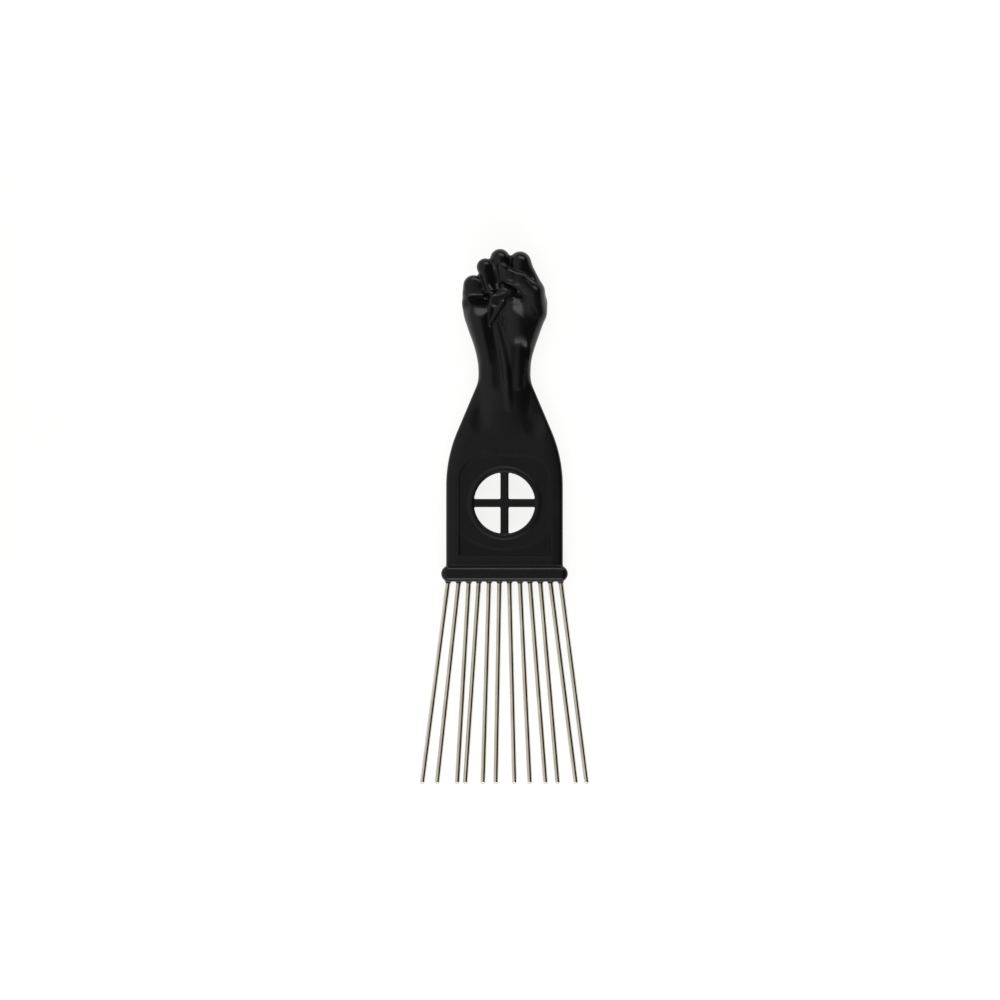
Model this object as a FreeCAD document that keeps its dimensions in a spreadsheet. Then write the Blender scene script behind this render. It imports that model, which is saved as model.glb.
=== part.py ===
# Afro pick: a black plastic handle with a clenched fist, moulded round six steel hairpin wires.
# The pick lies on its back. +Y runs from the teeth to the fist and +Z is the palm side of the fist.
# Y = 0 is half way along the pick, X = 0 is its centre line and Z = 0 is the surface it lies on.
import FreeCAD, Part
import math
import os
import Sketcher

os.makedirs("parts", exist_ok=True)
doc = FreeCAD.newDocument("afro_pick")

# Driving dimensions, in millimetres and degrees
SIZES = {
    # Tooth bar: the thick bead that holds the wires
    "bar_below_middle": 19.2,
    "bar_length": 42.6,
    "bar_height": 5.4,
    "bar_depth": 7.6,
    "bar_round": 1.8,
    # Panel: straight sides, then shoulders that draw in to the throat
    "panel_width": 39.3,
    "panel_thickness": 4.4,
    "panel_edge_round": 1.3,
    "side_height": 29.5,
    "shoulder_radius": 47.0,
    "shoulder_slope": 23.0,
    "throat_width": 17.2,
    # Recess on both faces of the panel, which steps deeper below one wide arc, and the lip round the window
    "recess_rise": 6.25,
    "recess_width": 30.4,
    "recess_height": 33.6,
    "recess_arch": 8.5,
    "recess_depth": 0.35,
    "step_rise": 13.6,
    "step_radius": 23.5,
    "step_depth": 0.35,
    "lip_width": 1.8,
    "lip_height": 0.3,
    # Round window with its cross of two bars
    "window_rise": 23.75,
    "window_diameter": 20.6,
    "window_bar_width": 2.8,
    "window_corner_round": 0.5,
    # Wire teeth
    "wire_diameter": 1.6,
    "tooth_pitch": 3.44,
    "tooth_reach": 70.8,
    "bend_depth": 5.4,
    "moulding_fit": 0.02,
    # Collar of plastic that runs down each tooth where it leaves the bar
    "collar_root_diameter": 3.3,
    "collar_end_diameter": 2.0,
    "collar_root": 0.9,
    "collar_length": 1.9,
}

# Cross-sections of the forearm and hand, from the cuff up: how far each lies above the one before,
# its half width, how far it stands off the middle plane in front and behind, and its sideways shift.
# The cuff's own rise is measured from the throat, so it is negative.
HAND_SECTIONS = {
    "cuff": (-10.3, 8.0, 3.9, 3.2, 0.0),
    "wrist": (13.0, 8.85, 4.7, 3.5, 0.0),
    "forearm": (8.9, 10.1, 5.0, 3.7, 0.0),
    "heel": (6.4, 12.3, 5.2, 3.7, 0.0),
    "palm": (7.6, 14.2, 5.0, 3.75, 0.0),
    "knuckle": (6.2, 12.3, 4.6, 3.7, 0.1),
    "crown": (8.6, 5.6, 4.0, 2.6, 0.6),
}
SECTION_SIZES = ("rise", "half_width", "front", "back", "shift")

# Fingers: where the bent joint stands, across and above the palm section, its radius,
# and the lean, length and end radius of the bone that runs down in front of the palm.
FINGERS = {
    "little": (-10.4, 6.6, 3.5, 12.0, 3.6, 3.1),
    "ring": (-6.3, 12.0, 3.1, 12.0, 8.2, 2.6),
    "middle": (-1.5, 15.1, 3.3, 2.0, 9.2, 2.8),
    "fore": (5.05, 13.9, 3.35, 25.0, 7.8, 3.2),
}
FINGER_SIZES = ("across", "up", "radius", "lean", "length", "end_radius")

SIZES.update({
    # How far the finger fronts stand off the middle plane, and how far each base knuckle sits
    # below its bent joint at the back of the hand
    "finger_front": 7.2,
    "base_knuckle_drop": 2.2,
    "base_knuckle_radius": 3.0,
    # Thumb: its knuckle by the forefinger, then the two bones that lie across the fingers
    "thumb_across": 10.1,
    "thumb_up": 3.1,
    "thumb_height": 4.7,
    "thumb_knuckle_radius": 3.1,
    "thumb_joint_radius": 2.45,
    "thumb_tip_radius": 2.05,
    "thumb_lean": 131.5,
    "thumb_rise": 14.0,
    "thumb_length": 7.2,
    "thumb_tip_lean": 110.0,
    "thumb_tip_length": 5.4,
    # The two mounds at the heel of the hand
    "thumb_mound_across": 4.3,
    "thumb_mound_up": -5.6,
    "thumb_mound_width": 10.4,
    "thumb_mound_length": 15.2,
    "thumb_mound_height": 7.6,
    "thumb_mound_lean": 14.0,
    "side_mound_across": -8.0,
    "side_mound_up": -4.4,
    "side_mound_width": 10.0,
    "side_mound_length": 16.4,
    "side_mound_height": 6.2,
    "side_mound_lean": 12.0,
    "mound_depth": 3.6,
    # Tendon that stands up along the forearm
    "tendon_width": 2.6,
    "tendon_taper": 2.0,
    "tendon_length": 22.0,
    "tendon_lean": 6.0,
    "tendon_across": -1.5,
    "tendon_down": 12.6,
    "tendon_height": 5.4,
    "tendon_dip": 2.0,
    # Ramp by which the cuff runs out into the panel
    "ramp_length": 7.0,
    "ramp_width": 14.0,
    "ramp_height": 3.4,
    "ramp_sink": 0.3,
})

# Lean of each hairpin, and how far each of its legs splays from that lean
HAIRPINS = ((-6.79, 0.6), (-3.65, -0.3), (-1.42, 0.35), (2.12, 0.7), (4.72, 0.26), (7.32, 0.07))

for section, values in HAND_SECTIONS.items():
    for quantity, value in zip(SECTION_SIZES, values):
        SIZES[f"{section}_{quantity}"] = value
for finger, values in FINGERS.items():
    for quantity, value in zip(FINGER_SIZES, values):
        SIZES[f"{finger}_{quantity}"] = value
for number, (lean, splay) in enumerate(HAIRPINS, start=1):
    SIZES[f"hairpin_{number}_lean"] = lean
    SIZES[f"hairpin_{number}_splay"] = splay

dims = doc.addObject("Spreadsheet::Sheet", "dims")
for row, (alias, value) in enumerate(SIZES.items(), start=1):
    dims.set(f"A{row}", alias)
    dims.set(f"B{row}", str(value))
    dims.setAlias(f"B{row}", alias)
doc.recompute()


def number_of(expression):
    """Value of an expression of the sheet, for a sketch's first guess."""
    return float(dims.evalExpression(expression))


# Levels that several pieces share, as expressions of the sheet
MIDDLE = "dims.bar_depth / 2"
BAR_Y = "(-dims.bar_below_middle)"
BAR_FOOT_Y = f"({BAR_Y} - dims.bar_height / 2)"
TIP_Y = f"({BAR_Y} - dims.tooth_reach)"
SHOULDER_X = "(dims.panel_width / 2 - dims.shoulder_radius * (1 - cos(dims.shoulder_slope)))"
SHOULDER_RISE = "(dims.side_height + dims.shoulder_radius * sin(dims.shoulder_slope))"
THROAT_RISE = f"({SHOULDER_RISE} + ({SHOULDER_X} - dims.throat_width / 2) / tan(dims.shoulder_slope))"
LIP_DIAMETER = "(dims.window_diameter + 2 * dims.lip_width)"

section_level = {}
level = f"{BAR_Y} + {THROAT_RISE}"
for section in HAND_SECTIONS:
    level = f"{level} + dims.{section}_rise"
    section_level[section] = f"({level})"
PALM_Y = section_level["palm"]


def place(thing, x, y, z, rotation="rotationz(0)"):
    """Bind an object's place and turn to the sheet. Z counts from the middle plane of the pick."""
    thing.setExpression("Placement", f"placement(vector({x}; {y}; {MIDDLE} + {z}); {rotation})")


def front_plane(body):
    """The body's own XY plane, which is the middle plane of the pick."""
    return next(part for part in body.Origin.OriginFeatures if part.Role == "XY_Plane")


def new_sketch(body, name):
    """Sketch on the body's own XY plane."""
    sketch = body.newObject("Sketcher::SketchObject", name)
    sketch.AttachmentSupport = [(front_plane(body), "")]
    sketch.MapMode = "FlatFace"
    return sketch


def close_profile(sketch, corners, arcs=None):
    """Draw a closed profile through corners given as expressions, and bind every corner to the sheet.

    arcs maps the number of an edge to its radius and its turn: 1 for counter-clockwise, -1 for clockwise.
    """
    arcs = arcs or {}
    points = [FreeCAD.Vector(number_of(x), number_of(y), 0) for x, y in corners]
    ends = []
    for edge, start in enumerate(points):
        finish = points[(edge + 1) % len(points)]
        if edge not in arcs:
            geometry = sketch.addGeometry(Part.LineSegment(start, finish), False)
            ends.append((geometry, 1, 2))
            continue
        radius, turn = number_of(arcs[edge][0]), arcs[edge][1]
        chord = finish - start
        sagitta_centre = math.sqrt(max(radius ** 2 - (chord.Length / 2) ** 2, 0.0))
        across = FreeCAD.Vector(-chord.y, chord.x, 0).normalize()
        centre = start + chord * 0.5 + across * (sagitta_centre * turn)
        first, last = (start, finish) if turn > 0 else (finish, start)
        circle = Part.Circle(centre, FreeCAD.Vector(0, 0, 1), radius)
        arc = Part.ArcOfCircle(circle, math.atan2(first.y - centre.y, first.x - centre.x),
                               math.atan2(last.y - centre.y, last.x - centre.x))
        geometry = sketch.addGeometry(arc, False)
        ends.append((geometry, 1, 2) if turn > 0 else (geometry, 2, 1))
    for edge, (geometry, start, finish) in enumerate(ends):
        following = ends[(edge + 1) % len(ends)]
        sketch.addConstraint(Sketcher.Constraint("Coincident", geometry, finish, following[0], following[1]))
    for edge, (geometry, start, finish) in enumerate(ends):
        across, up = corners[edge]
        for kind, axis, expression in (("DistanceX", -2, across), ("DistanceY", -1, up)):
            if expression == "0":
                sketch.addConstraint(Sketcher.Constraint("PointOnObject", geometry, start, axis))
                continue
            rule = Sketcher.Constraint(kind, -1, 1, geometry, start, number_of(expression))
            bound = sketch.addConstraint(rule)
            sketch.setExpression(f"Constraints[{bound}]", expression)
        if edge in arcs:
            rule = Sketcher.Constraint("Radius", geometry, number_of(arcs[edge][0]))
            bound = sketch.addConstraint(rule)
            sketch.setExpression(f"Constraints[{bound}]", arcs[edge][0])


def draw_circle(sketch, y, diameter):
    """Circle about a point of the centre line, bound to the sheet."""
    centre = FreeCAD.Vector(0, number_of(y), 0)
    circle = Part.Circle(centre, FreeCAD.Vector(0, 0, 1), number_of(diameter) / 2)
    geometry = sketch.addGeometry(circle, False)
    sketch.addConstraint(Sketcher.Constraint("PointOnObject", geometry, 3, -2))
    rise = sketch.addConstraint(Sketcher.Constraint("DistanceY", -1, 1, geometry, 3, number_of(y)))
    sketch.setExpression(f"Constraints[{rise}]", y)
    width = sketch.addConstraint(Sketcher.Constraint("Diameter", geometry, number_of(diameter)))
    sketch.setExpression(f"Constraints[{width}]", diameter)


def add_pad(body, name, sketch, length, midplane=False):
    """Pad a sketch by a length of the sheet."""
    pad = body.newObject("PartDesign::Pad", name)
    pad.Profile = sketch
    pad.setExpression("Length", length)
    if midplane:
        pad.SideType = "Symmetric"
    doc.recompute()
    return pad


def add_pocket(body, name, sketch, depth):
    """Sink a sketch into the body by a depth of the sheet."""
    pocket = body.newObject("PartDesign::Pocket", name)
    pocket.Profile = sketch
    pocket.setExpression("Length", depth)
    doc.recompute()
    return pocket


def add_fillet(body, name, base, edges, radius):
    """Round the named edges of a feature."""
    fillet = body.newObject("PartDesign::Fillet", name)
    fillet.Base = (base, edges)
    fillet.setExpression("Radius", radius)
    doc.recompute()
    return fillet


def edges_where(feature, wanted):
    """Names of the edges of a feature whose two ends and middle all pass a test."""
    names = []
    for index, edge in enumerate(feature.Shape.Edges, start=1):
        span = edge.ParameterRange
        stations = [edge.valueAt(span[0]), edge.valueAt((span[0] + span[1]) / 2), edge.valueAt(span[1])]
        if all(wanted(point) for point in stations):
            names.append(f"Edge{index}")
    return names


# Points nearer than this count as one
SAME_PLACE = 0.001


def on_level(height):
    """Test for points that lie on either of the two faces at that height from the middle plane."""
    return lambda point: abs(abs(point.z) - height) < SAME_PLACE


def runs_through(edge):
    """True of an edge that runs straight through the panel from face to face."""
    first, last = edge.firstVertex().Point, edge.lastVertex().Point
    return math.hypot(last.x - first.x, last.y - first.y) < SAME_PLACE and abs(last.z - first.z) > SAME_PLACE


def make_panel():
    """Flat panel with rounded edges, a recess on both faces and the window cut through."""
    body = doc.addObject("PartDesign::Body", "panel")
    place(body, "0", BAR_Y, "0")

    half = "dims.panel_width / 2"
    outline = new_sketch(body, "panel_outline")
    right = [(half, "0"), (half, "dims.side_height"), (SHOULDER_X, SHOULDER_RISE),
             ("dims.throat_width / 2", THROAT_RISE)]
    left = [(f"-({x})", y) for x, y in reversed(right)]
    close_profile(outline, right + left,
                  arcs={1: ("dims.shoulder_radius", 1), 5: ("dims.shoulder_radius", 1)})
    slab = add_pad(body, "panel_slab", outline, "dims.panel_thickness", midplane=True)
    rim = edges_where(slab, on_level(number_of("dims.panel_thickness / 2")))
    add_fillet(body, "panel_edge", slab, rim, "dims.panel_edge_round")

    recess = new_sketch(body, "recess_outline")
    recess.setExpression("AttachmentOffset.Base.z", "dims.panel_thickness / 2")
    side = "dims.recess_width / 2"
    top = "dims.recess_rise + dims.recess_height"
    close_profile(recess, [(f"-{side}", "dims.recess_rise"), (side, "dims.recess_rise"),
                           (side, f"{top} - dims.recess_arch"), (f"{side} - dims.recess_arch", top),
                           (f"-({side} - dims.recess_arch)", top), (f"-{side}", f"{top} - dims.recess_arch")],
                  arcs={2: ("dims.recess_arch", 1), 4: ("dims.recess_arch", 1)})
    pocket = add_pocket(body, "recess", recess, "dims.recess_depth")

    floor = "dims.panel_thickness / 2 - dims.recess_depth"
    step_outline = new_sketch(body, "step_outline")
    step_outline.setExpression("AttachmentOffset.Base.z", floor)
    close_profile(step_outline, [(f"-{side}", "dims.recess_rise"), (side, "dims.recess_rise"),
                                 (side, "dims.step_rise"), (f"-{side}", "dims.step_rise")],
                  arcs={2: ("dims.step_radius", -1)})
    step = add_pocket(body, "step", step_outline, "dims.step_depth")

    lip_outline = new_sketch(body, "lip_outline")
    lip_outline.setExpression("AttachmentOffset.Base.z", floor)
    draw_circle(lip_outline, "dims.window_rise", LIP_DIAMETER)
    lip = add_pad(body, "lip", lip_outline, "dims.lip_height")

    back = body.newObject("PartDesign::Mirrored", "back_relief")
    back.Originals = [pocket, step, lip]
    back.MirrorPlane = (front_plane(body), [""])
    body.Tip = back
    doc.recompute()

    pane = new_sketch(body, "window_pane")
    pane.setExpression("AttachmentOffset.Base.y", "dims.window_rise")
    inner = "dims.window_bar_width / 2"
    outer = "sqrt((dims.window_diameter / 2) ^ 2 - (dims.window_bar_width / 2) ^ 2)"
    close_profile(pane, [(inner, inner), (outer, inner), (inner, outer)],
                  arcs={1: ("dims.window_diameter / 2", 1)})
    opening = body.newObject("PartDesign::Pocket", "window_opening")
    opening.Profile = pane
    opening.Type = "ThroughAll"
    opening.SideType = "Symmetric"
    doc.recompute()
    panes = body.newObject("PartDesign::PolarPattern", "window_panes")
    panes.Originals = [opening]
    panes.Axis = (pane, ["N_Axis"])
    panes.Angle = 360
    panes.Occurrences = 4
    body.Tip = panes
    doc.recompute()

    window_y = number_of("dims.window_rise")
    reach = number_of("dims.window_diameter / 2") + SAME_PLACE
    round_window = edges_where(panes, lambda point: math.hypot(point.x, point.y - window_y) < reach)
    upright = [name for name in round_window if runs_through(panes.Shape.getElement(name))]
    add_fillet(body, "window_corners", panes, upright, "dims.window_corner_round")
    return body


def make_bar():
    """Tooth bar: round-ended in front view, with its long edges rounded in front and behind."""
    body = doc.addObject("PartDesign::Body", "tooth_bar")
    place(body, "0", BAR_Y, "0")
    outline = new_sketch(body, "bar_outline")
    end = "(dims.bar_length - dims.bar_height) / 2"
    half = "dims.bar_height / 2"
    nose = "dims.bar_length / 2"
    close_profile(outline, [(f"-{end}", f"-{half}"), (end, f"-{half}"), (nose, "0"),
                            (end, half), (f"-{end}", half), (f"-{nose}", "0")],
                  arcs={edge: (half, 1) for edge in (1, 2, 4, 5)})
    bar = add_pad(body, "bar", outline, "dims.bar_depth", midplane=True)
    rim = edges_where(bar, on_level(number_of("dims.bar_depth / 2")))
    add_fillet(body, "bar_edge", bar, rim, "dims.bar_round")
    return body


def make_section(name, level, half_width, front, back, shift="0"):
    """Oval section across the hand: deeper in front of the middle plane than behind it."""
    oval = doc.addObject("Part::Ellipse", name)
    oval.setExpression("MajorRadius", half_width)
    oval.setExpression("MinorRadius", f"({front} + {back}) / 2")
    place(oval, shift, level, f"({front} - {back}) / 2", "rotationx(90)")
    return oval


def make_loft(name, sections):
    """Solid through a row of sections."""
    loft = doc.addObject("Part::Loft", name)
    loft.Sections = sections
    loft.Solid = True
    return loft


def make_hand_block():
    """Forearm, heel, palm and back of the hand as one body drawn through its cross-sections."""
    sections = [make_section(f"{name}_section", section_level[name], f"dims.{name}_half_width",
                             f"dims.{name}_front", f"dims.{name}_back", f"dims.{name}_shift")
                for name in HAND_SECTIONS]
    return make_loft("hand_block", sections)


def make_ramp():
    """Low ramp on both faces by which the forearm's cuff runs out into the panel."""
    toe_height = "dims.panel_thickness / 2 - dims.ramp_sink"
    toe = make_section("ramp_toe", f"{section_level['cuff']} - dims.ramp_length", "dims.ramp_width / 2",
                       toe_height, toe_height)
    head = make_section("ramp_head", f"{section_level['cuff']} + dims.ramp_length", "dims.cuff_half_width",
                        "dims.ramp_height", "dims.ramp_height")
    return make_loft("cuff_ramp", [toe, head])


def make_bone(name, length, start_radius, end_radius):
    """Tapered round-ended bone, turned about its own axis. It runs from the origin along its own -Y."""
    body = doc.addObject("PartDesign::Body", name)
    profile = new_sketch(body, f"{name}_profile")
    slope = f"(({start_radius} - {end_radius}) / ({length}))"
    flank = f"sqrt(1 - {slope} ^ 2)"
    close_profile(profile, [("0", start_radius),
                            (f"{start_radius} * {flank}", f"{start_radius} * {slope}"),
                            (f"{end_radius} * {flank}", f"{end_radius} * {slope} - {length}"),
                            ("0", f"-({length}) - {end_radius}")],
                  arcs={0: (start_radius, -1), 2: (end_radius, -1)})
    turned = body.newObject("PartDesign::Revolution", f"{name}_turned")
    turned.Profile = profile
    turned.ReferenceAxis = (profile, ["V_Axis"])
    turned.Angle = 360
    doc.recompute()
    return body


# Turns of a bone about its own axis that put its seam behind it or before it, inside the hand
SEAM_BEHIND = "rotationy(90)"
SEAM_BEFORE = "rotationy(-90)"
# A bone that starts inside another bone's joint is slimmer there by this share
INSIDE_JOINT = 0.98


def make_finger(name):
    """One curled finger: a base bone over the top of the fist and a bone down in front of the palm."""
    x = f"dims.{name}_across"
    y = f"{PALM_Y} + dims.{name}_up"
    z = f"dims.finger_front - dims.{name}_radius"
    front = make_bone(f"{name}_front", f"dims.{name}_length", f"dims.{name}_radius",
                      f"dims.{name}_end_radius")
    place(front, x, y, z, f"rotationz(dims.{name}_lean) * {SEAM_BEHIND}")

    # The base bone runs straight back from the bent joint and down a little to the base knuckle,
    # whose back lies level with the back of the tooth bar.
    depth = f"({z} + dims.bar_depth / 2 - dims.base_knuckle_radius)"
    length = f"sqrt({depth} ^ 2 + dims.base_knuckle_drop ^ 2)"
    pitch = f"atan({depth} / dims.base_knuckle_drop)"
    base = make_bone(f"{name}_base", length, f"dims.{name}_radius * {INSIDE_JOINT}",
                     "dims.base_knuckle_radius")
    place(base, x, y, z, f"rotationx({pitch}) * {SEAM_BEFORE}")
    return [front, base]


def make_thumb():
    """Thumb: from its knuckle at the side of the forefinger across the fronts of the fingers."""
    lower = make_bone("thumb_lower", "dims.thumb_length", "dims.thumb_knuckle_radius",
                      "dims.thumb_joint_radius")
    x, y, z = "dims.thumb_across", f"{PALM_Y} + dims.thumb_up", "dims.thumb_height"
    place(lower, x, y, z, f"rotationz(-dims.thumb_lean) * rotationx(-dims.thumb_rise) * {SEAM_BEHIND}")
    run = "(dims.thumb_length * cos(dims.thumb_rise))"
    tip = make_bone("thumb_tip", "dims.thumb_tip_length", f"dims.thumb_joint_radius * {INSIDE_JOINT}",
                    "dims.thumb_tip_radius")
    place(tip, f"{x} - {run} * sin(dims.thumb_lean)", f"{y} - {run} * cos(dims.thumb_lean)",
          f"{z} + dims.thumb_length * sin(dims.thumb_rise)",
          f"rotationz(-dims.thumb_tip_lean) * {SEAM_BEHIND}")
    return [lower, tip]


def make_mound(name):
    """Rounded mound at the heel of the hand."""
    mound = doc.addObject("Part::Ellipsoid", name)
    mound.setExpression("Radius1", "dims.mound_depth")
    mound.setExpression("Radius2", f"dims.{name}_width / 2")
    mound.setExpression("Radius3", f"dims.{name}_length / 2")
    place(mound, f"dims.{name}_across", f"{PALM_Y} + dims.{name}_up",
          f"dims.{name}_height - dims.mound_depth", f"rotationz(dims.{name}_lean)")
    return mound


def make_tendon():
    """Tendon that stands up along the middle of the forearm."""
    tendon = make_bone("tendon", "dims.tendon_length", "dims.tendon_width / 2", "dims.tendon_taper / 2")
    place(tendon, "dims.tendon_across", f"{PALM_Y} - dims.tendon_down",
          "dims.tendon_height - dims.tendon_width / 2",
          f"rotationz(dims.tendon_lean) * rotationx(dims.tendon_dip) * {SEAM_BEHIND}")
    return tendon


def leg_frame(number, side):
    """Lean of one leg of a hairpin, the point where it runs into the bend, and its length to the tip."""
    lean, splay = f"dims.hairpin_{number}_lean", f"dims.hairpin_{number}_splay"
    root_x = f"({number} - {(len(HAIRPINS) + 1) / 2}) * 2 * dims.tooth_pitch"
    across = f"({side} * dims.tooth_pitch / 2 * cos({splay}))"
    up = f"(dims.bend_depth + dims.tooth_pitch / 2 * sin({splay}))"
    leg_lean = f"({lean} + {side} * {splay})"
    x = f"({root_x} + {across} * cos({lean}) - {up} * sin({lean}))"
    y = f"({BAR_FOOT_Y} + {across} * sin({lean}) + {up} * cos({lean}))"
    return leg_lean, x, y, f"(({y} - {TIP_Y}) / cos({leg_lean}))"


def make_leg(number, side, name):
    """One tooth: a straight wire with a rounded tip, from the bend to the tip line."""
    leg_lean, x, y, length = leg_frame(number, side)
    body = doc.addObject("PartDesign::Body", name)
    radius = "dims.wire_diameter / 2"
    profile = new_sketch(body, f"{name}_profile")
    close_profile(profile, [("0", "0"), ("0", f"-{length}"),
                            (radius, f"-({length} - {radius})"), (radius, "0")],
                  arcs={1: (radius, 1)})
    turned = body.newObject("PartDesign::Revolution", f"{name}_turned")
    turned.Profile = profile
    turned.ReferenceAxis = (profile, ["V_Axis"])
    turned.Angle = 360
    place(body, x, y, "0", f"rotationz({leg_lean})")
    doc.recompute()
    return body


def make_bend(number, name, extra="0"):
    """Half turn of wire that joins the two legs inside the tooth bar."""
    lean, splay = f"dims.hairpin_{number}_lean", f"dims.hairpin_{number}_splay"
    bend = doc.addObject("Part::Torus", name)
    bend.setExpression("Radius1", "dims.tooth_pitch / 2")
    bend.setExpression("Radius2", f"dims.wire_diameter / 2 + {extra}")
    bend.setExpression("Angle3", f"180 - 2 * {splay}")
    root_x = f"({number} - {(len(HAIRPINS) + 1) / 2}) * 2 * dims.tooth_pitch"
    place(bend, f"{root_x} - dims.bend_depth * sin({lean})",
          f"{BAR_FOOT_Y} + dims.bend_depth * cos({lean})", "0", f"rotationz({lean} + {splay})")
    return bend


def make_leg_channel(number, side, name):
    """Space that one leg takes up in the moulding."""
    leg_lean, x, y, length = leg_frame(number, side)
    channel = doc.addObject("Part::Cylinder", name)
    channel.setExpression("Radius", "dims.wire_diameter / 2 + dims.moulding_fit")
    channel.setExpression("Height", length)
    place(channel, x, y, "0", f"rotationz({leg_lean}) * rotationx(90)")
    return channel


def make_collar(number, side, name):
    """Small cone of plastic that runs down a tooth where it leaves the bar."""
    leg_lean, x, y, length = leg_frame(number, side)
    start = f"(({y} - {BAR_FOOT_Y}) / cos({leg_lean}) - dims.collar_root)"
    collar = doc.addObject("Part::Cone", name)
    collar.setExpression("Radius1", "dims.collar_root_diameter / 2")
    collar.setExpression("Radius2", "dims.collar_end_diameter / 2")
    collar.setExpression("Height", "dims.collar_length")
    place(collar, f"{x} + {start} * sin({leg_lean})", f"{y} - {start} * cos({leg_lean})", "0",
          f"rotationz({leg_lean}) * rotationx(90)")
    return collar


def fuse(name, shapes):
    """Join shapes into one solid."""
    joined = doc.addObject("Part::MultiFuse", name)
    joined.Shapes = shapes
    joined.Refine = False
    return joined


# Wires: two legs and a bend for each hairpin, with the channel that each leaves in the plastic
nodes = []
channels = []
collars = []
for number in range(1, len(HAIRPINS) + 1):
    for side, word in ((-1, "left"), (1, "right")):
        nodes.append(make_leg(number, side, f"hairpin_{number}_{word}_leg"))
        channels.append(make_leg_channel(number, side, f"channel_{number}_{word}"))
        collars.append(make_collar(number, side, f"collar_{number}_{word}"))
    nodes.append(make_bend(number, f"hairpin_{number}_bend"))
    channels.append(make_bend(number, f"channel_{number}_bend", "dims.moulding_fit"))

# Handle: everything that is moulded in plastic, less the space that the wires take up
moulded = [make_panel(), make_bar(), make_hand_block(), make_ramp(), make_tendon()]
for finger in FINGERS:
    moulded.extend(make_finger(finger))
moulded.extend(make_thumb())
moulded.extend([make_mound("thumb_mound"), make_mound("side_mound")])
moulding = fuse("moulding", moulded + collars)
handle = doc.addObject("Part::Cut", "handle")
handle.Base = moulding
handle.Tool = fuse("wire_channels", channels)
nodes.append(handle)
doc.recompute()

# Every object must have recomputed well before anything is written
for thing in doc.Objects:
    if "Invalid" in thing.State or "Error" in thing.State:
        raise RuntimeError(f"{thing.Name} failed: {thing.State}")
for node in nodes:
    node.Label = node.Name
    shape = node.Shape
    if shape.isNull() or not shape.isValid() or len(shape.Solids) != 1:
        raise RuntimeError(f"{node.Label} is not one sound solid")
for node in nodes:
    node.Shape.exportStep(f"parts/{node.Label}.step")
    box = node.Shape.BoundBox
    print(f"{node.Label}: {node.Shape.Volume:.1f} mm3, X {box.XMin:.2f} to {box.XMax:.2f},"
          f" Y {box.YMin:.2f} to {box.YMax:.2f}, Z {box.ZMin:.2f} to {box.ZMax:.2f}")
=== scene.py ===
import bpy
import math
import numpy as np
import openvdb
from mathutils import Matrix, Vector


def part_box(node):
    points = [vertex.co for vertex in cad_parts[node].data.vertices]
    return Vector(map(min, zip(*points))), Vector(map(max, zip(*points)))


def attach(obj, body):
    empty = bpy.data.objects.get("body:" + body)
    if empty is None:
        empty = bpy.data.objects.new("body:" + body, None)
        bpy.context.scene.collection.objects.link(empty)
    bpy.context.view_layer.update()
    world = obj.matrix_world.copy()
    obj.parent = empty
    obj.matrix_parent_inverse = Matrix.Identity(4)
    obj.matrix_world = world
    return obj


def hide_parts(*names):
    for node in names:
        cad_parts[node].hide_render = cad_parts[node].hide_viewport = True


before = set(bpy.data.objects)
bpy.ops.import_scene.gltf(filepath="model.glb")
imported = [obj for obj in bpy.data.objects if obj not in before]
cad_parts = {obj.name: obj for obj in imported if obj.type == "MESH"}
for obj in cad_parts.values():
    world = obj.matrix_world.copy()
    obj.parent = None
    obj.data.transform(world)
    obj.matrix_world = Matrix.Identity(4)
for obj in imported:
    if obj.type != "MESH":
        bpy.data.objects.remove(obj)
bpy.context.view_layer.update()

# Handle
# One black plastic moulding: tooth bar, flared panel with a recess and a round cross-barred window,
# forearm and clenched fist. It is shot round the wires in a mould of two halves that meet at the middle plane.
# All its sizes are in millimetres in the frame's X and Y, with Z counted from that middle plane.
MM = 0.001
leg_low, leg_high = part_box("hairpin_3_left_leg")
MIDDLE_Z = (leg_low.z + leg_high.z) / 2 / MM
# Keeps the middle of an oval from dividing by nothing
LEAST_STEEP = 1e-4


def melt(a, b, soft):
    """Two forms joined, with the line where they meet filled out over a width."""
    share = np.clip(0.5 + 0.5 * (b - a) / soft, 0, 1)
    return b + (a - b) * share - soft * share * (1 - share)


def carve(form, tool, soft):
    """A form with a tool pressed into it, its edge eased over a width."""
    return -melt(-form, tool, soft)


def ease(distance, width):
    """Smooth step from 1 inside an outline to 0 outside it, over a width."""
    t = np.clip(0.5 - distance / width, 0, 1)
    return t * t * (3 - 2 * t)


def smooth_line(at, stations, values):
    """Smooth curve through values at rising stations, level beyond both ends."""
    stations, values = np.array(stations, np.float32), np.array(values, np.float32)
    slopes = np.gradient(values, stations)
    at = np.clip(at, stations[0], stations[-1])
    left = np.clip(np.searchsorted(stations, at, side="right") - 1, 0, len(stations) - 2)
    span = stations[left + 1] - stations[left]
    t = (at - stations[left]) / span
    rise = t * t * (3 - 2 * t)
    bow_left = t * (1 - t) ** 2 * span * slopes[left]
    bow_right = t * t * (t - 1) * span * slopes[left + 1]
    return values[left] * (1 - rise) + values[left + 1] * rise + bow_left + bow_right


def rounded_slab(outside, height, edge_round):
    """Slab from its distance outside an outline and its height above a face, with a rounded edge."""
    across, up = outside + edge_round, height + edge_round
    corner = np.sqrt(np.maximum(across, 0) ** 2 + np.maximum(up, 0) ** 2)
    return np.minimum(np.maximum(across, up), 0) + corner - edge_round


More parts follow.
